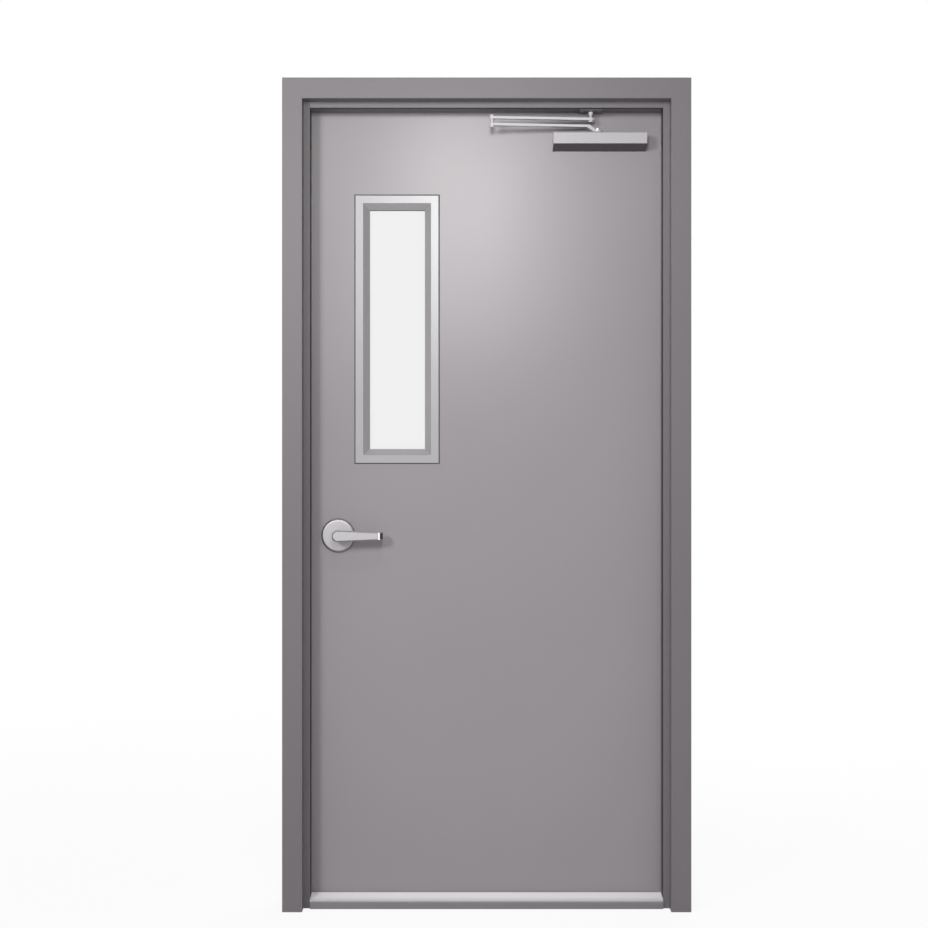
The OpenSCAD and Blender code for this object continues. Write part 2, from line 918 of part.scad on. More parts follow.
// The bolt, drawn back into its case, with its slope towards the stop
module latch_bolt() {
    x0 = -half_leaf + bolt_rest;
    color(satin) translate([0, 0, lever_z - bolt_h / 2]) linear_extrude(bolt_h) polygon([
        [x0, leaf_mid + bolt_w / 2], [x0, leaf_mid + bolt_w / 2 - bolt_w + bolt_bevel],
        [x0 + bolt_bevel, leaf_mid - bolt_w / 2], [x0 + bolt_len, leaf_mid - bolt_w / 2],
        [x0 + bolt_len, leaf_mid + bolt_w / 2]
    ]);
}

module latch_screws() {
    color(steel) latch_screw_set(0);
}

// Closer

// Section of the cover in depth and height, drawn in by a wall
module cover_section(wall) {
    y0 = leaf_face - closer_out + wall;
    top = closer_top - wall;
    low = closer_low + wall;
    polygon([
        [leaf_face, top], [y0 + cover_edge, top], [y0, top - cover_edge], [y0, low],
        [leaf_face, low - closer_slope]
    ]);
}

module along_closer(len) {
    translate([closer_x, 0, 0]) rotate([90, 0, 90]) linear_extrude(len, center = true) children();
}

module closer_cover() {
    color(satin) difference() {
        along_closer(closer_len) cover_section(0);
        along_closer(closer_len - 2 * cover_wall) {
            cover_section(cover_wall);
            translate([leaf_face - cut, closer_low - closer_slope + cover_wall])
                square([2 * cut, closer_face_h + closer_slope - 2 * cover_wall]);
        }
        translate([spindle_x, spindle_y, closer_top - cover_wall - cut])
            cylinder(r = closer_spindle_r + plate_room, h = cover_wall + 2 * cut);
    }
}

module closer_screw_set(room) {
    mid = (closer_top + closer_low) / 2;
    for (sx = [-1, 1], sz = [-1, 1])
        translate([closer_x + sx * closer_screw_x_share * closer_len, leaf_face - plate_t,
                mid + sz * closer_screw_z_share * closer_face_h])
            rotate([90, 0, 0]) plain_screw(closer_screw_len, room);
}

// The cast body: a plate on the leaf, a lying cylinder and an upright boss for the spindle
module closer_body() {
    half = closer_len / 2 - cover_wall - plate_room;
    mid = (closer_top + closer_low) / 2;
    boss_low = closer_low + cover_wall + plate_room;
    boss_top = closer_top - cover_wall - plate_room;
    color(dark_steel) difference() {
        union() {
            block([closer_x - half, leaf_face - plate_t, boss_low], [closer_x + half, leaf_face, boss_top]);
            translate([closer_x - half + body_end, spindle_y, mid]) rotate([0, 90, 0])
                cylinder(r = body_r - plate_room, h = 2 * (half - body_end));
            translate([spindle_x, spindle_y, boss_low]) cylinder(r = boss_r, h = boss_top - boss_low);
            block([closer_x - half / 2, spindle_y, mid - body_r / 2],
                [closer_x + half / 2, leaf_face, mid + body_r / 2]);
        }
        translate([spindle_x, spindle_y, boss_low + spindle_seat])
            cylinder(r = closer_spindle_r + fit, h = closer_face_h);
        closer_screw_set(fit);
    }
}

module closer_screws() {
    color(steel) closer_screw_set(0);
}

module closer_spindle() {
    low = closer_low + cover_wall + plate_room + spindle_seat + fit;
    color(steel) difference() {
        translate([spindle_x, spindle_y, low]) cylinder(r = closer_spindle_r, h = hub_z + arm_t - low);
        arm_screw_shape(fit);
    }
}

// Arms

// A bar from its root at zero to its tip along local X
module arm_bar(start, len, root_r, tip_r) {
    linear_extrude(arm_t) {
        polygon([[start, -root_r], [len, -tip_r], [len, tip_r], [start, root_r]]);
        translate([len, 0]) circle(r = tip_r);
    }
}

// Half of the elbow's spool, standing up from zero, with a flange that curves in to a waist
module half_spool(h) {
    waist = [for (k = [0 : spool_steps]) [
        spool_flange_r - (spool_flange_r - spool_waist_r) * sin(90 * k / spool_steps),
        spool_flange_h + (h - spool_flange_h) * (1 - cos(90 * k / spool_steps))
    ]];
    rotate_extrude() polygon(concat([[0, 0], [spool_flange_r, 0]], waist, [[0, h]]));
}

module arm_screw_shape(room) {
    top = hub_z + arm_t;
    translate([spindle_x, spindle_y, top]) cylinder(r = arm_screw_head_r + room, h = arm_screw_head_h);
    translate([spindle_x, spindle_y, top - arm_screw_len - room])
        cylinder(r = arm_screw_r + room, h = arm_screw_len + room);
}

// The arm on the spindle: a low hub, a joggle and a bar out to the elbow
module closer_main_arm() {
    color(satin) translate([spindle_x, spindle_y, hub_z]) rotate([0, 0, main_turn]) difference() {
        union() {
            cylinder(r = arm_hub_r, h = arm_t);
            rotate([90, 0, 0]) linear_extrude(2 * arm_root_r, center = true) polygon([
                [joggle_start, 0], [joggle_start + arm_t, 0], [joggle_end + arm_t, arm_lift],
                [joggle_end + arm_t, arm_lift + arm_t], [joggle_end, arm_lift + arm_t],
                [joggle_start, arm_t]
            ]);
            translate([0, 0, arm_lift]) arm_bar(joggle_end, main_len, arm_root_r, arm_tip_r);
            translate([main_len, 0, arm_lift - spool_end])
                half_spool(elbow_split - main_z + spool_end - gap / 2);
        }
        translate([0, 0, -cut]) cylinder(r = closer_spindle_r + fit, h = arm_t + 2 * cut);
        translate([0, 0, arm_t]) cylinder(r = arm_screw_head_r + gap, h = arm_lift + arm_t);
    }
}

module closer_arm_screw() {
    color(steel) arm_screw_shape(0);
}

// The arm on the shoe's post, with the upper half of the elbow's spool
module closer_forearm() {
    color(satin) translate([shoe_x, shoe_y, fore_z]) rotate([0, 0, fore_turn]) difference() {
        union() {
            cylinder(r = arm_root_r, h = arm_t);
            arm_bar(0, fore_len, arm_root_r, arm_tip_r);
            translate([fore_len, 0, arm_t + spool_end]) mirror([0, 0, 1])
                half_spool(fore_z + arm_t + spool_end - elbow_split - gap / 2);
        }
        translate([0, 0, -cut]) cylinder(r = post_r + fit, h = arm_t + 2 * cut);
    }
}

module shoe_screw_set(room) {
    for (side = [-1, 1])
        translate([shoe_x + side * shoe_screw_share * shoe_w, shoe_y, soffit - shoe_t])
            rotate([180, 0, 0]) plain_screw(shoe_screw_len, room);
}

// A plate under the stop, with a post that the forearm turns on
module closer_shoe() {
    foot = fore_z - gap - post_head_h;
    color(satin) difference() {
        union() {
            block([shoe_x - shoe_w / 2, shoe_y - shoe_d / 2, soffit - shoe_t],
                [shoe_x + shoe_w / 2, shoe_y + shoe_d / 2, soffit]);
            translate([shoe_x, shoe_y, foot]) shoe_post(soffit - shoe_t - foot);
        }
        shoe_screw_set(fit);
    }
}

// The turned post: a head, the forearm's seat, a neck and a collar under the plate
module shoe_post(h) {
    seat = fore_z + arm_t + gap - (fore_z - gap - post_head_h);
    collar = h - post_collar_h;
    rotate_extrude() polygon([
        [0, 0], [post_head_r, 0], [post_head_r, post_head_h], [post_r, post_head_h], [post_r, seat],
        [post_neck_r, seat + post_flare], [post_neck_r, collar - post_flare],
        [post_collar_r, collar], [post_collar_r, h], [post_r, h], [post_r, h + shoe_t / 2],
        [0, h + shoe_t / 2]
    ]);
}

module shoe_screws() {
    color(steel) shoe_screw_set(0);
}

// Hinges

// One plate with its knuckles, cut clear of the other plate's knuckles
module hinge_plate(z, x0, own, other) {
    foot = z - hinge_h / 2;
    difference() {
        union() {
            block([x0, hinge_inner, foot], [x0 + hinge_t, hinge_y, foot + hinge_h]);
            for (k = own)
                translate([hinge_x, hinge_y, foot + k * knuckle_h + gap / 2])
                    cylinder(r = barrel_r, h = knuckle_h - gap);
        }
        for (k = other)
            translate([hinge_x, hinge_y, foot + k * knuckle_h - gap / 2])
                cylinder(r = barrel_r + gap, h = knuckle_h + gap);
        translate([hinge_x, hinge_y, foot - cut]) cylinder(r = pin_r + fit, h = hinge_h + 2 * cut);
    }
}

function hinge_screw_y(share) = hinge_inner + share * (leaf_back - hinge_inner);

module frame_hinge_screw_set(room) {
    for (z = hinge_zs, share = hinge_screw_shares)
        translate([half_open, hinge_screw_y(share[0]), z + share[1] * hinge_h])
            rotate([0, -90, 0]) plain_screw(frame_screw_len, room);
}

module leaf_hinge_screw_set(room) {
    for (z = hinge_zs, share = hinge_screw_shares)
        translate([half_leaf, hinge_screw_y(share[0]), z + share[1] * hinge_h])
            rotate([0, 90, 0]) plain_screw(leaf_screw_len, room);
}

module frame_plate(z) {
    color(steel) difference() {
        hinge_plate(z, half_open, [0, 2, 4], [1, 3]);
        frame_hinge_screw_set(fit);
    }
}

module leaf_plate(z) {
    color(steel) difference() {
        hinge_plate(z, half_leaf - hinge_t, [1, 3], [0, 2, 4]);
        leaf_hinge_screw_set(fit);
    }
}

module hinge_pin(z) {
    color(steel) translate([hinge_x, hinge_y, z - hinge_h / 2]) {
        cylinder(r = pin_r, h = hinge_h);
        translate([0, 0, hinge_h]) cylinder(r = pin_head_r, h = pin_head_h);
    }
}

module top_hinge_frame_plate() { frame_plate(hinge_zs[0]); }
module top_hinge_leaf_plate() { leaf_plate(hinge_zs[0]); }
module top_hinge_pin() { hinge_pin(hinge_zs[0]); }
module middle_hinge_frame_plate() { frame_plate(hinge_zs[1]); }
module middle_hinge_leaf_plate() { leaf_plate(hinge_zs[1]); }
module middle_hinge_pin() { hinge_pin(hinge_zs[1]); }
module bottom_hinge_frame_plate() { frame_plate(hinge_zs[2]); }
module bottom_hinge_leaf_plate() { leaf_plate(hinge_zs[2]); }
module bottom_hinge_pin() { hinge_pin(hinge_zs[2]); }

module frame_hinge_screws() {
    color(steel) frame_hinge_screw_set(0);
}

module leaf_hinge_screws() {
    color(steel) leaf_hinge_screw_set(0);
}

hinge_jamb();
strike_jamb();
frame_head();
floor_anchors();
strike_plate();
strike_screws();
strike_box();
hinge_side_seal();
strike_side_seal();
head_seal();
threshold();
threshold_screws();
leaf_push_skin();
leaf_pull_skin();
leaf_core();
leaf_top_channel();
leaf_bottom_channel();
leaf_hinge_channel();
leaf_lock_channel();
lite_glass();
lite_push_trim();
lite_pull_trim();
lite_push_tape();
lite_pull_tape();
lite_screws();
push_rose();
pull_rose();
push_lever();
pull_lever();
lever_spindle();
lock_chassis();
latch_case();
latch_faceplate();
latch_bolt();
latch_screws();
closer_body();
closer_cover();
closer_screws();
closer_spindle();
closer_main_arm();
closer_arm_screw();
closer_forearm();
closer_shoe();
shoe_screws();
top_hinge_frame_plate();
top_hinge_leaf_plate();
top_hinge_pin();
middle_hinge_frame_plate();
middle_hinge_leaf_plate();
middle_hinge_pin();
bottom_hinge_frame_plate();
bottom_hinge_leaf_plate();
bottom_hinge_pin();
frame_hinge_screws();
leaf_hinge_screws();
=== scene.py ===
import json
import math

import bpy
from mathutils import Matrix, Vector


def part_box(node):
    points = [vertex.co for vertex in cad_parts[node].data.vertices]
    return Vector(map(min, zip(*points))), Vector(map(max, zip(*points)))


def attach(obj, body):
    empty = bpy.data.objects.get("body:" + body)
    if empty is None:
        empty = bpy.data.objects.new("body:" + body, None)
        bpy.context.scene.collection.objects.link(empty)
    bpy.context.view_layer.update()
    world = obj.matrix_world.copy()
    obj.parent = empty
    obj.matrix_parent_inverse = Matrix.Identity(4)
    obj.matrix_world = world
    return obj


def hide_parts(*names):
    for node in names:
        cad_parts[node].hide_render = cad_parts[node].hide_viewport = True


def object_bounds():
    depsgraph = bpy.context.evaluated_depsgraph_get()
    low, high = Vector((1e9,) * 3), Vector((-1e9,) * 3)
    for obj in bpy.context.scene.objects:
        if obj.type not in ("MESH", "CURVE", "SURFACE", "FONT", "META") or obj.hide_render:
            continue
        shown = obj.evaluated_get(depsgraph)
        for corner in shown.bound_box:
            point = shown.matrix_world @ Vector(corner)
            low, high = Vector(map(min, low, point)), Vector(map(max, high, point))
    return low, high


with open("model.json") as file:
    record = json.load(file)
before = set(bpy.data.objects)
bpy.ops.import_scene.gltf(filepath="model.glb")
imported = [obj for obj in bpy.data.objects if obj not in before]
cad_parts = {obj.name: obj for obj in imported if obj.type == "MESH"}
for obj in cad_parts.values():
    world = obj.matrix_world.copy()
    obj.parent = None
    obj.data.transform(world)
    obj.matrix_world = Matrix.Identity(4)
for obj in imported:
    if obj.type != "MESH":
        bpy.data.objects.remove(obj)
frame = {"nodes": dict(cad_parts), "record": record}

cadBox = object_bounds()
nodes = frame["nodes"]
record = frame["record"]
mm = 0.001
bodyOf = {node: body for body, members in record["behaviour"]["bodies"].items() for node in members}
slotOf = {part["node"]: part["material_slot"] for part in record["subparts"]}
facingFront = (math.radians(90), 0, 0)  # turns a flat shape, or the camera, upright to the door
print("frame loaded:", len(nodes), "nodes")


# A socket that takes part in sums, so that shader maths reads as maths
class Sock:
    def __init__(self, tree, socket):
        self.tree = tree
        self.socket = socket

    def maths(self, operation, first, second):
        node = self.tree.nodes.new("ShaderNodeMath")
        node.operation = operation
        for place, value in zip(node.inputs, (first, second)):
            plug(self.tree, place, value)
        return Sock(self.tree, node.outputs[0])

    def __add__(self, other):
        return self.maths("ADD", self, other)

    def __radd__(self, other):
        return self.maths("ADD", other, self)

    def __mul__(self, other):
        return self.maths("MULTIPLY", self, other)

    def __rmul__(self, other):
        return self.maths("MULTIPLY", other, self)


def plug(tree, place, value):
    if isinstance(value, Sock):
        tree.links.new(value.socket, place)
    else:
        place.default_value = value


def socketNamed(sockets, name):
    return next(socket for socket in sockets if name in (socket.identifier, socket.name))


# A node tree, with the one way that nodes are added to it
class Tree:
    def __init__(self, tree):
        self.tree = tree

    def add(self, kind, settings=None, sockets=None, out=0):
        node = self.tree.nodes.new(kind)
        for key, value in (settings or {}).items():
            setattr(node, key, value)
        for key, value in (sockets or {}).items():
            plug(self.tree, socketNamed(node.inputs, key), value)
        chosen = node.outputs[out] if isinstance(out, int) else socketNamed(node.outputs, out)
        return Sock(self.tree, chosen)

    # 1 for what is seen straight, mirrored or through glass, and 0 for the light that falls on a surface
    def seen(self):
        rays = ("Is Camera Ray", "Is Glossy Ray", "Is Transmission Ray")
        straight, mirrored, through = (self.add("ShaderNodeLightPath", out=ray) for ray in rays)
        return straight + mirrored + through


# A material with its main shader and the Object coordinates
class Finish(Tree):
    def __init__(self, name, **constants):
        self.material = bpy.data.materials.new(name)
        self.material.use_nodes = True
        super().__init__(self.material.node_tree)
        self.shader = self.tree.nodes["Principled BSDF"]
        self.place = self.add("ShaderNodeTexCoord", out="Object")
        self.set(constants)

    def set(self, sockets):
        for key, value in sockets.items():
            plug(self.tree, self.shader.inputs[key.replace("_", " ")], value)

    def noise(self, scale, detail=2.0, vector=None):
        sockets = {"Vector": vector or self.place, "Scale": scale, "Detail": detail}
        return self.add("ShaderNodeTexNoise", sockets=sockets)

    def stretched(self, scale):
        return self.add("ShaderNodeMapping", sockets={"Vector": self.place, "Scale": scale})

    def between(self, first, last, factor):
        sockets = {"Factor_Float": factor, "A_Color": first, "B_Color": last}
        return self.add("ShaderNodeMix", {"data_type": "RGBA"}, sockets, out="Result_Color")

    # The colour of a look, wandering by its tone
    def toned(self, look, factor):
        darker = shade(look["colour"], 1 - look["tone"])
        lighter = shade(look["colour"], 1 + look["tone"])
        return self.between(darker, lighter, factor)

    # 0 below one height and 1 above another
    def above(self, low, high):
        height = self.add("ShaderNodeSeparateXYZ", sockets={"Vector": self.place}, out="Z")
        sockets = {"Value": height, "From Min": low, "From Max": high}
        return self.add("ShaderNodeMapRange", {"interpolation_type": "SMOOTHSTEP"}, sockets)

    def bump(self, height, strength, distance):
        sockets = {"Height": height, "Strength": strength, "Distance": distance}
        return self.add("ShaderNodeBump", sockets=sockets)


def shade(colour, factor=1.0):
    return tuple(min(1.0, part * factor) for part in colour) + (1.0,)


# The finish's colour, with painted shade at a foot, and painted bands of shade or highlight from a height
# upwards, where its look asks for them
def footed(finish, look, colour):
    if "foot" in look:
        foot = look["foot"]
        colour = finish.between(shade(foot["colour"]), colour, finish.above(foot["low"], foot["high"]))
    for band in look.get("bands", []):
        colour = finish.between(colour, shade(band["colour"]), finish.above(band["low"], band["high"]))
    return colour


# Sprayed satin paint: broad drifts of tone and a fine orange peel
def paint(name, look):
    finish = Finish(name, Metallic=0.0, Specular_IOR_Level=look["specular"])
    drift = finish.noise(look["driftScale"])
    peel = finish.noise(look["peelScale"], look["peelDetail"])
    finish.set({
        "Base_Color": footed(finish, look, finish.toned(look, drift)),
        "Roughness": look["roughness"] + look["spread"] * drift,
        "Normal": finish.bump(peel, look["peel"], look["peelDeep"]),
    })
    return finish.material


# Metal with fine brush lines along one axis
def brushed(name, look):
    finish = Finish(name, Metallic=look["metallic"], Specular_IOR_Level=look["specular"])
    lines = finish.noise(1.0, look["lineDetail"], finish.stretched(look["lines"]))
    drift = finish.noise(look["driftScale"])
    finish.set({
        "Base_Color": footed(finish, look, finish.toned(look, lines)),
        "Roughness": look["roughness"] + look["spread"] * lines + look["spread"] * drift,
        "Normal": finish.bump(lines, look["scratch"], look["scratchDeep"]),
    })
    return finish.material


# Dull surfaces with a mottle: dark steel, rubber, paper
def mottled(name, look):
    finish = Finish(name, Metallic=0.0)
    mottle = finish.noise(look["scale"], look["detail"])
    finish.set({
        "Base_Color": finish.toned(look, mottle),
        "Roughness": look["roughness"] + look["spread"] * mottle,
        "Normal": finish.bump(mottle, look["bump"], look["bumpDeep"]),
    })
    return finish.material


# Clear float glass with the faintest smears
def glassPane(name, look):
    finish = Finish(name, Metallic=0.0, IOR=look["ior"], Specular_IOR_Level=look["specular"])
    smear = finish.noise(look["smearScale"], look["smearDetail"])
    finish.set({
        "Base_Color": finish.toned(look, smear),
        "Roughness": look["spread"] * smear,
        "Alpha": look["body"] + look["spread"] * smear,
    })
    return finish.material


painted = {
    "driftScale": 2.2, "tone": 0.04, "spread": 0.06, "specular": 0.5,
    "peelScale": 520.0, "peelDetail": 1.0, "peel": 0.10, "peelDeep": 0.2 * mm,
}
metal = {
    "metallic": 1.0, "specular": 0.5, "driftScale": 14.0, "tone": 0.07, "spread": 0.08,
    "lineDetail": 3.0, "scratch": 0.08, "scratchDeep": 0.1 * mm,
}
dull = {"tone": 0.25, "spread": 0.1, "detail": 4.0, "bumpDeep": 0.3 * mm}
paintedShade = (0.065, 0.061, 0.065)  # painted shade, dark on the closer's lower face and its shoe's plate
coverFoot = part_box("closer_cover")[0][2]
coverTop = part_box("closer_cover")[1][2]
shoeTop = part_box("closer_shoe")[1][2]
looks = {
    "frame_paint": (paint, dict(painted, colour=(0.145, 0.132, 0.142), roughness=0.39)),
    "leaf_paint": (paint, dict(painted, colour=(0.272, 0.25, 0.265), roughness=0.27)),
    "trim_metal": (paint, dict(
        painted, colour=(0.345, 0.334, 0.345), roughness=0.285, specular=0.85, spread=0.02, peel=0.05,
        driftScale=9.0)),
    "closer_silver": (paint, dict(
        painted, colour=(0.43, 0.417, 0.43), roughness=0.33, peel=0.05,
        # painted shade: the cover's lower face darker than its front
        foot={"colour": paintedShade, "low": coverFoot + 11 * mm, "high": coverFoot + 13.5 * mm},
        bands=[  # painted highlight on the arms above the cover, then painted shade on the shoe's plate
            {"colour": (0.60, 0.585, 0.60), "low": coverTop + 1.5 * mm, "high": coverTop + 3.5 * mm},
            {"colour": paintedShade, "low": shoeTop - 5.5 * mm, "high": shoeTop - 4 * mm}])),
    "satin_steel": (brushed, dict(
        metal, colour=(0.34, 0.328, 0.338), roughness=0.42, lines=(40.0, 900.0, 1600.0))),
    "hinge_steel": (brushed, dict(
        metal, colour=(0.46, 0.46, 0.47), roughness=0.29, lines=(1500.0, 1500.0, 40.0))),
    "bright_steel": (brushed, dict(
        metal, colour=(0.50, 0.50, 0.51), roughness=0.21, lines=(700.0, 700.0, 700.0))),
    "mill_aluminium": (brushed, dict(
        metal, colour=(0.97, 0.95, 0.97), metallic=0.0, specular=0.05, roughness=0.5,
        lines=(14.0, 1400.0, 1400.0),
        # painted shade: the threshold's nose darker towards the floor
        foot={"colour": (0.22, 0.21, 0.22), "low": 16 * mm, "high": 24 * mm})),
    "dark_steel": (mottled, dict(
        dull, colour=(0.10, 0.10, 0.11), roughness=0.5, scale=60.0, bump=0.1)),
    "black_rubber": (mottled, dict(
        dull, colour=(0.012, 0.011, 0.012), roughness=0.55, scale=240.0, bump=0.2)),
    "kraft_core": (mottled, dict(
        dull, colour=(0.48, 0.34, 0.17), roughness=0.8, scale=90.0, bump=0.3)),
    "clear_glass": (glassPane, {
        "colour": (0.55, 0.56, 0.555), "tone": 0.03, "ior": 1.5, "specular": 0.1, "body": 0.155,
        "smearScale": 9.0, "smearDetail": 3.0, "spread": 0.02}),
}
finishes = {slot: make(slot, look) for slot, (make, look) in looks.items()}
print("finishes made:", len(finishes))

# How closely points are merged, and which edges count as flat, sharp or smooth
meshing = {
    "merge": 0.01 * mm, "sliver": 0.002 * mm, "faceWeight": 100,
    "flat": math.radians(0.5), "sharp": math.radians(30), "smooth": math.radians(35),
}


def soloSelect(piece):
    bpy.ops.object.select_all(action="DESELECT")
    piece.select_set(True)
    bpy.context.view_layer.objects.active = piece


def applied(piece, kind, **settings):
    soloSelect(piece)
    modifier = piece.modifiers.new(kind.lower(), kind)
    for key, value in settings.items():
        setattr(modifier, key, value)
    bpy.ops.object.modifier_apply(modifier=modifier.name)


# A finished piece takes its finish and rides on a body
def settle(piece, body, slot):
    piece.data.materials.clear()
    piece.data.materials.append(finishes[slot])
    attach(piece, body)


# A piece that stands for a node takes its body and its finish
def standFor(piece, node):
    settle(piece, bodyOf[node], slotOf[node])
    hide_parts(node)


# A merged copy of a node, to be worked on
def copyOf(node, ending):
    piece = bpy.data.objects.new(node.replace("_", ".") + ending, nodes[node].data.copy())
    bpy.context.scene.collection.objects.link(piece)
    soloSelect(piece)
    bpy.ops.object.mode_set(mode="EDIT")
    bpy.ops.mesh.select_all(action="SELECT")
    bpy.ops.mesh.customdata_custom_splitnormals_clear()
    bpy.ops.mesh.remove_doubles(threshold=meshing["merge"])
    bpy.ops.mesh.tris_convert_to_quads(face_threshold=meshing["flat"], shape_threshold=math.pi)
    bpy.ops.object.mode_set(mode="OBJECT")
    return piece


# Smooth rounds between flat faces that stay flat, without the slivers a bevel leaves
def smoothed(piece):
    soloSelect(piece)
    bpy.ops.object.mode_set(mode="EDIT")
    bpy.ops.mesh.select_all(action="SELECT")
    bpy.ops.mesh.dissolve_degenerate(threshold=meshing["sliver"])
    bpy.ops.object.mode_set(mode="OBJECT")
    bpy.ops.object.shade_smooth_by_angle(angle=meshing["smooth"])
    applied(piece, "WEIGHTED_NORMAL", weight=meshing["faceWeight"], keep_sharp=True)


# A small round on every sharp edge
def softened(piece, width, segments):
    applied(piece, "BEVEL", width=width, segments=segments, limit_method="ANGLE",
            angle_limit=meshing["sharp"], miter_outer="MITER_ARC")
    smoothed(piece)


# Selects the sharp edges that are wanted, and stays in edit mode
def selectEdges(piece, wanted):
    soloSelect(piece)
    bpy.ops.object.mode_set(mode="EDIT")
    bpy.ops.mesh.select_mode(type="EDGE")
    bpy.ops.mesh.select_all(action="DESELECT")
    bpy.ops.object.mode_set(mode="OBJECT")
    mesh = piece.data
    normals = {}
    for polygon in mesh.polygons:
        for key in polygon.edge_keys:
            normals.setdefault(key, []).append(polygon.normal)
    for edge in mesh.edges:
        pair = normals.get(edge.key, [])
        sharp = len(pair) == 2 and pair[0].angle(pair[1], 0.0) > meshing["sharp"]
        a, b = (mesh.vertices[i].co for i in edge.vertices)
        edge.select = sharp and wanted(a, b)
    bpy.ops.object.mode_set(mode="EDIT")


# A round on the sharp edges that are wanted
def rounded(piece, wanted, radius, steps):
    selectEdges(piece, wanted)
    bpy.ops.mesh.bevel(offset=radius, segments=steps, affect="EDGES")
    bpy.ops.object.mode_set(mode="OBJECT")


# The folds of the frame's sheet: long edges along one axis get the round of a press brake
folds = {
    "axes": {"hinge_jamb": 2, "strike_jamb": 2, "frame_head": 0},
    "radius": 1.2 * mm, "steps": 3, "shortest": 60 * mm, "straight": 0.9,
}


def isFold(a, b, axis):
    run = b - a
    return abs(run[axis]) > max(folds["shortest"], folds["straight"] * run.length)


for node, axis in folds["axes"].items():
    piece = copyOf(node, ".folded")
    rounded(piece, lambda a, b: isFold(a, b, axis), folds["radius"], folds["steps"])
    smoothed(piece)
    standFor(piece, node)
print("frame folded")

# Pieces that keep the form of their node and get soft edges: radius in mm, steps
plateEdge = (0.4, 2)
caseEdge = (0.6, 2)
rodEdge = (0.8, 3)
gripEdge = (1.2, 3)
hingeEdges = {"frame_plate": plateEdge, "leaf_plate": plateEdge, "pin": rodEdge}
softPieces = {
    "leaf_push_skin": (0.5, 2),
    "push_rose": caseEdge, "pull_rose": caseEdge, "push_lever": gripEdge, "pull_lever": gripEdge,
    "closer_cover": gripEdge, "closer_main_arm": rodEdge, "closer_forearm": rodEdge,
    "closer_shoe": caseEdge, "closer_arm_screw": caseEdge,
    "strike_plate": plateEdge, "latch_faceplate": plateEdge, "latch_bolt": (0.6, 3),
}
for height in ("top", "middle", "bottom"):
    softPieces.update({height + "_hinge_" + part: edge for part, edge in hingeEdges.items()})
for place in ("hinge_side", "strike_side", "head"):
    softPieces[place + "_seal"] = gripEdge
for node, (radius, steps) in softPieces.items():
    piece = copyOf(node, ".soft")
    softened(piece, radius * mm, steps)
    standFor(piece, node)
print("soft edges:", len(softPieces))

# The lite's trims: the outer edge is rolled over, the others are only broken
trims = {
    "fronts": {"push": 0, "pull": 1},  # which corner of its box a trim's front is at
    "roll": 2.0 * mm, "rollSteps": 4, "round": 0.5 * mm, "steps": 2, "near": 0.1 * mm,
}


def onRim(p, corners, front):
    rim = any(abs(p[i] - corner[i]) < trims["near"] for corner in corners for i in (0, 2))
    return rim and abs(p.y - corners[front][1]) < trims["near"]


for side, front in trims["fronts"].items():
    node = "lite_" + side + "_trim"
    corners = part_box(node)
    piece = copyOf(node, ".soft")
    rounded(piece, lambda a, b: onRim(a, corners, front) and onRim(b, corners, front),
            trims["roll"], trims["rollSteps"])
    softened(piece, trims["round"], trims["steps"])
    standFor(piece, node)
print("trims rolled")


# A plain block from corner to corner, the start of a cutter or a strip
def block(name, low, high):
    low, high = Vector(low), Vector(high)
    bpy.ops.object.select_all(action="DESELECT")
    bpy.ops.mesh.primitive_cube_add(size=1, location=(low + high) / 2)
    piece = bpy.context.object
    piece.name = name
    piece.scale = high - low
    bpy.ops.object.transform_apply(location=True, rotation=True, scale=True)
    return piece


def cutAway(piece, cutter):
    applied(piece, "BOOLEAN", operation="DIFFERENCE", object=cutter, solver="EXACT")
    soloSelect(cutter)
    bpy.ops.object.delete()


# The faces of the stop that look into the doorway
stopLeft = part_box("strike_jamb")[1][0]
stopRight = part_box("hinge_jamb")[0][0]
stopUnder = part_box("frame_head")[0][2]

# The threshold, its nose coped to stand between the stops
sill = {"round": 0.6 * mm, "steps": 2, "fit": 0.3 * mm, "stopFront": -33 * mm, "past": 30 * mm}
piece = copyOf("threshold", ".soft")
back = sill["stopFront"] + sill["fit"]
past = sill["past"]
for stop, outwards in ((stopLeft, -1), (stopRight, 1)):
    inner = stop - outwards * sill["fit"]
    lowX, highX = sorted((inner, inner + outwards * past))
    cutAway(piece, block("cope", (lowX, back - past, -past), (highX, back, 2 * past)))
softened(piece, sill["round"], sill["steps"])
standFor(piece, "threshold")
print("threshold coped")

# Dark edge strips on the stop, seen as a thin line round the leaf
strips = {
    "thick": 1 * mm, "front": -31 * mm, "jambBack": -5 * mm, "headBack": -23 * mm,
    "round": 0.3 * mm, "steps": 3,
}
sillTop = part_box("threshold")[1][2]
innerLeft = stopLeft + strips["thick"]
innerRight = stopRight - strips["thick"]
innerTop = stopUnder - strips["thick"]
stripCorners = {
    "strike": ((stopLeft, strips["front"], sillTop), (innerLeft, strips["jambBack"], innerTop)),
    "hinge": ((innerRight, strips["front"], sillTop), (stopRight, strips["jambBack"], innerTop)),
    "head": ((innerLeft, strips["front"], innerTop), (innerRight, strips["headBack"], stopUnder)),
}
for name, (low, high) in stripCorners.items():
    piece = block("stop." + name + ".strip", low, high)
    softened(piece, strips["round"], strips["steps"])
    settle(piece, "frame", "black_rubber")
print("edge strips made")

# Screws with a cross recess: the way each set of heads faces
screwSets = {
    "strike_screws": (1, 0, 0), "threshold_screws": (0, 0, 1), "lite_screws": (0, 1, 0),
    "latch_screws": (-1, 0, 0), "shoe_screws": (0, 0, -1),
    "frame_hinge_screws": (-1, 0, 0), "leaf_hinge_screws": (1, 0, 0),
}
recess = {"wide": 0.52, "slot": 0.15, "deep": 0.24}  # shares of the head's width


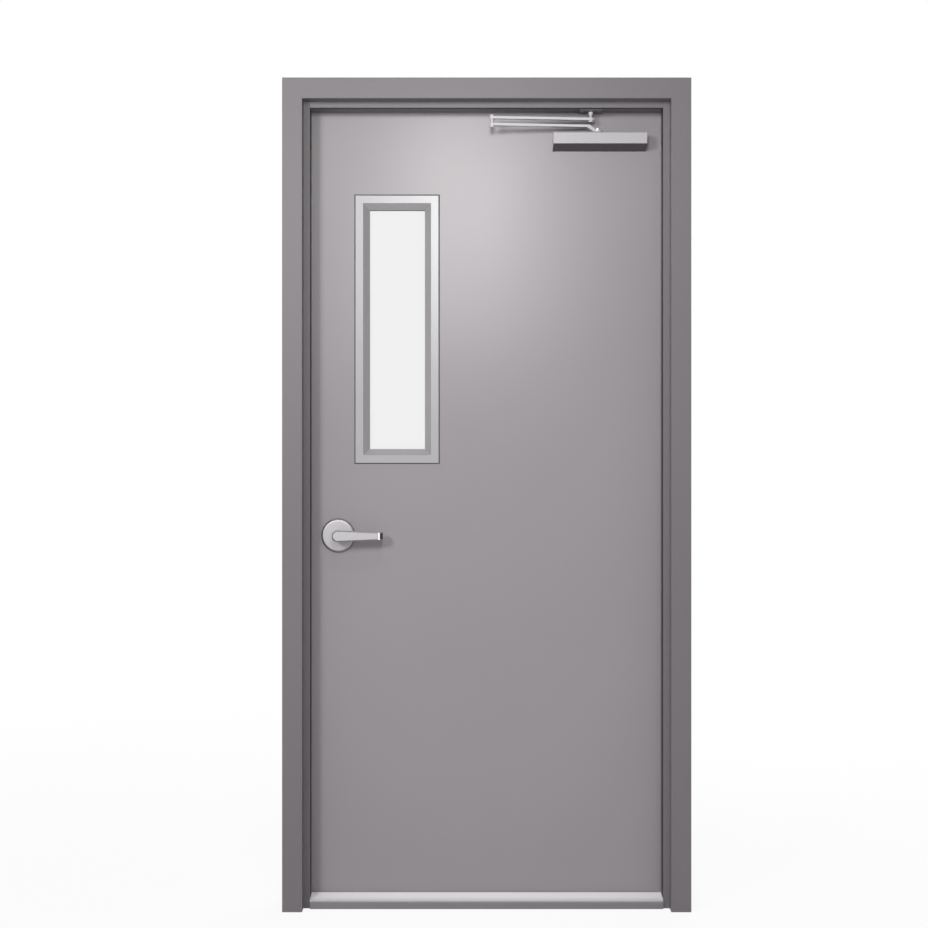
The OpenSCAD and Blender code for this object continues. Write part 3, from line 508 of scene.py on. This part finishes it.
def crossCutter(width):
    bpy.ops.object.select_all(action="DESELECT")
    bpy.ops.mesh.primitive_cube_add(size=recess["slot"] * width)
    cutter = bpy.context.object
    bpy.ops.object.mode_set(mode="EDIT")
    bpy.ops.mesh.select_all(action="SELECT")
    bpy.ops.transform.resize(value=(1, 1, 2 * recess["deep"] / recess["slot"]))
    bpy.ops.mesh.select_all(action="DESELECT")
    bpy.ops.object.mode_set(mode="OBJECT")
    for polygon in cutter.data.polygons:
        polygon.select = round(polygon.normal.z) == 0  # the four sides
    bpy.ops.object.mode_set(mode="EDIT")
    bpy.ops.mesh.select_mode(type="FACE")
    reach = (recess["wide"] - recess["slot"]) / 2 * width
    bpy.ops.mesh.extrude_faces_move(TRANSFORM_OT_shrink_fatten={"value": reach})
    bpy.ops.object.mode_set(mode="OBJECT")
    return cutter


# The separate shells of a mesh, each as its points
def shells(mesh):
    links = {vertex.index: [] for vertex in mesh.vertices}
    for a, b in (edge.vertices for edge in mesh.edges):
        links[a].append(b)
        links[b].append(a)
    seen = set()
    for start in links:
        if start in seen:
            continue
        shell, todo = [], [start]
        seen.add(start)
        while todo:
            here = todo.pop()
            shell.append(mesh.vertices[here].co)
            fresh = [i for i in links[here] if i not in seen]
            seen.update(fresh)
            todo.extend(fresh)
        yield shell


# The middle of each screw's head and its width
def screwHeads(mesh, axis):
    for shell in shells(mesh):
        low = Vector([min(p[i] for p in shell) for i in range(3)])
        high = Vector([max(p[i] for p in shell) for i in range(3)])
        width = min(high[i] - low[i] for i in range(3) if not axis[i])
        top = max(p.dot(axis) for p in shell)
        middle = (low + high) / 2
        yield middle + axis * (top - middle.dot(axis)), width


for node, facing in screwSets.items():
    piece = copyOf(node, ".driven")
    axis = Vector(facing)
    turn = axis.to_track_quat("Z", "Y").to_matrix().to_4x4()
    heads = list(screwHeads(piece.data, axis))
    pattern = crossCutter(heads[0][1])
    cutters = []
    for head, _ in heads:
        cutter = bpy.data.objects.new("recess", pattern.data.copy())
        cutter.data.transform(Matrix.Translation(head) @ turn)
        bpy.context.scene.collection.objects.link(cutter)
        cutters.append(cutter)
    soloSelect(pattern)
    bpy.ops.object.delete()
    soloSelect(cutters[0])
    for cutter in cutters:
        cutter.select_set(True)
    bpy.ops.object.join()
    cutAway(piece, cutters[0])
    smoothed(piece)
    standFor(piece, node)
print("screws cut:", len(screwSets))

# Thin black strips round the trims and roses, standing in for the shadow line there: painted shade
paintedShadeLines = {
    "lip": 2.0 * mm, "roseLip": 0.6 * mm, "bite": 0.4 * mm, "thick": 0.6 * mm,
    "round": 0.15 * mm, "steps": 2, "sides": 72,
}
skins = {"push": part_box("leaf_push_skin")[0][1], "pull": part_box("leaf_pull_skin")[1][1]}


def paintedShadeLine(name, node, side, ring):
    low, high = (Vector(corner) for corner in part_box(node))
    out = -1 if side == "push" else 1
    middle = (low + high) / 2
    middle.y = skins[side] + out * paintedShadeLines["thick"] / 2
    lip = paintedShadeLines["roseLip" if ring else "lip"]
    bpy.ops.object.select_all(action="DESELECT")
    if ring:
        bpy.ops.mesh.primitive_circle_add(
            vertices=paintedShadeLines["sides"], radius=(high.x - low.x) / 2 + lip, fill_type="NGON",
            location=middle, rotation=facingFront)
    else:
        bpy.ops.mesh.primitive_plane_add(size=1, location=middle, rotation=facingFront)
        bpy.context.object.scale = (high.x - low.x + 2 * lip, high.z - low.z + 2 * lip, 1)
    piece = bpy.context.object
    piece.name = name
    bpy.ops.object.transform_apply(location=True, rotation=True, scale=True)
    bpy.ops.object.mode_set(mode="EDIT")
    bpy.ops.mesh.select_all(action="SELECT")
    bpy.ops.mesh.inset(thickness=lip + paintedShadeLines["bite"])
    bpy.ops.mesh.delete(type="FACE")
    bpy.ops.object.mode_set(mode="OBJECT")
    applied(piece, "SOLIDIFY", thickness=paintedShadeLines["thick"], offset=0)
    softened(piece, paintedShadeLines["round"], paintedShadeLines["steps"])
    settle(piece, "leaf", "black_rubber")


for side in skins:
    paintedShadeLine("lite." + side + ".gasket", "lite_" + side + "_trim", side, False)
    paintedShadeLine("rose." + side + ".gasket", side + "_rose", side, True)
print("gaskets made")

# At the end of each lever, a bright band that stands in for the highlight on its bend and a dark plug that
# stands in for the dark reflection past the bend: painted highlight and painted reflection. Lengths are
# measured back from the tip
leverEnds = {
    "plug": {"slot": "black_rubber", "from": 6.2 * mm, "to": -0.35 * mm, "high": 15 * mm, "bend": 5.5 * mm},
    "band": {"slot": "mill_aluminium", "from": 11.2 * mm, "to": 6.2 * mm, "high": 17.8 * mm, "bend": 0.0},
}
endShape = {"deep": 17 * mm, "round": 0.6 * mm, "steps": 2, "bendSteps": 6}


def leverEnd(side, name, shape):
    low, high = (Vector(corner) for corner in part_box(side + "_lever"))
    out = -1 if side == "push" else 1
    front = low.y if side == "push" else high.y
    deep = endShape["deep"]
    start, stop = high.x - shape["from"], high.x - shape["to"]
    middle = Vector(((start + stop) / 2, front - out * deep / 2, (low.z + high.z) / 2))
    half = Vector((stop - start, deep, shape["high"])) / 2
    piece = block("lever." + side + "." + name, middle - half, middle + half)

    # The upright edge at the front of the tip
    def atTip(a, b):
        return min(a.x, b.x) > middle.x and max(abs(a.y - front), abs(b.y - front)) < deep / 2

    if shape["bend"]:
        rounded(piece, atTip, shape["bend"], endShape["bendSteps"])
    softened(piece, endShape["round"], endShape["steps"])
    settle(piece, "levers", shape["slot"])


for side in skins:
    for name, shape in leverEnds.items():
        leverEnd(side, name, shape)
print("lever ends made")

# The nodes that still show take their finish too
for node, solid in nodes.items():
    solid.data.materials.clear()
    solid.data.materials.append(finishes[slotOf[node]])

# A pale floor that takes the shadow and fades to white
white = (1.0, 1.0, 1.0, 1.0)
floorLook = {
    "size": 60.0, "drop": 0.5 * mm, "colour": (0.86, 0.86, 0.86), "tone": 0.01, "driftScale": 0.6,
    "roughness": 0.9, "glowNear": 0.90, "near": 0.9, "far": 4.0,
}
bpy.ops.object.select_all(action="DESELECT")
bpy.ops.mesh.primitive_plane_add(size=floorLook["size"], location=(0, 0, -floorLook["drop"]))
floor = bpy.context.object
floor.name = "floor"
matte = Finish("studioFloor", Roughness=floorLook["roughness"], Specular_IOR_Level=0.0)
matte.set({"Base_Color": matte.toned(floorLook, matte.noise(floorLook["driftScale"]))})
distance = matte.add("ShaderNodeVectorMath", {"operation": "LENGTH"}, {"Vector": matte.place}, out="Value")
fade = matte.add("ShaderNodeMapRange", sockets={
    "Value": distance, "From Min": floorLook["near"], "From Max": floorLook["far"],
    "To Min": floorLook["glowNear"]})
glow = matte.add("ShaderNodeEmission", sockets={"Color": white, "Strength": 1.0})
mixed = matte.add("ShaderNodeMixShader", sockets={
    "Fac": matte.seen() * fade, "Shader": Sock(matte.tree, matte.shader.outputs[0]), "Shader_001": glow})
plug(matte.tree, matte.tree.nodes["Material Output"].inputs["Surface"], mixed)
floor.data.materials.append(matte.material)

# A backdrop that is seen as white and lights the object with a share of that
ambient = 0.32
world = bpy.data.worlds.new("studio")
bpy.context.scene.world = world
world.use_nodes = True
sky = Tree(world.node_tree)
backdrop = sky.tree.nodes["Background"]
plug(sky.tree, backdrop.inputs["Color"], white)
plug(sky.tree, backdrop.inputs["Strength"], sky.seen() * (1.0 - ambient) + ambient)

# Area lamps: places and sizes in metres, power in watts, spread in degrees
lamps = {
    "keyLamp": {"at": (-2.0, -4.0, 2.4), "aim": (0.0, 0.0, 1.1), "size": (0.8, 0.8), "power": 84.0},
    "frontLamp": {"at": (-0.05, -2.57, 2.15), "aim": (-0.05, 0.0, 1.75), "size": (0.3, 0.9), "power": 24.0},
    "sillLamp": {
        "at": (0.0, -1.6, 3.0), "aim": (0.0, 0.0, 0.02), "size": (0.9, 0.3), "power": 0.65, "spread": 40.0},
    "backLamp": {"at": (1.2, 3.6, 2.8), "aim": (0.0, 0.0, 1.1), "size": (2.0, 2.0), "power": 110.0},
}
for name, lamp in lamps.items():
    bpy.ops.object.select_all(action="DESELECT")
    bpy.ops.object.light_add(type="AREA", location=lamp["at"])
    light = bpy.context.object
    light.name = name
    light.data.shape = "RECTANGLE"
    light.data.size, light.data.size_y = lamp["size"]
    light.data.energy = lamp["power"]
    if "spread" in lamp:
        light.data.spread = math.radians(lamp["spread"])
    way = Vector(lamp["aim"]) - Vector(lamp["at"])
    light.rotation_euler = way.to_track_quat("-Z", "Y").to_euler()

# The camera looks straight at the push side: the width is what it sees at the frame's front
view = {"x": -56.6 * mm, "z": 1116.8 * mm, "distance": 4.5, "width": 2.312, "sensor": 36.0}
bpy.ops.object.select_all(action="DESELECT")
bpy.ops.object.camera_add(
    location=(view["x"], cadBox[0][1] - view["distance"], view["z"]), rotation=facingFront)
camera = bpy.context.object
camera.data.sensor_width = view["sensor"]
camera.data.lens = view["sensor"] * view["distance"] / view["width"]
bpy.context.scene.camera = camera
bpy.context.scene.view_settings.view_transform = "Standard"
print("set lit")
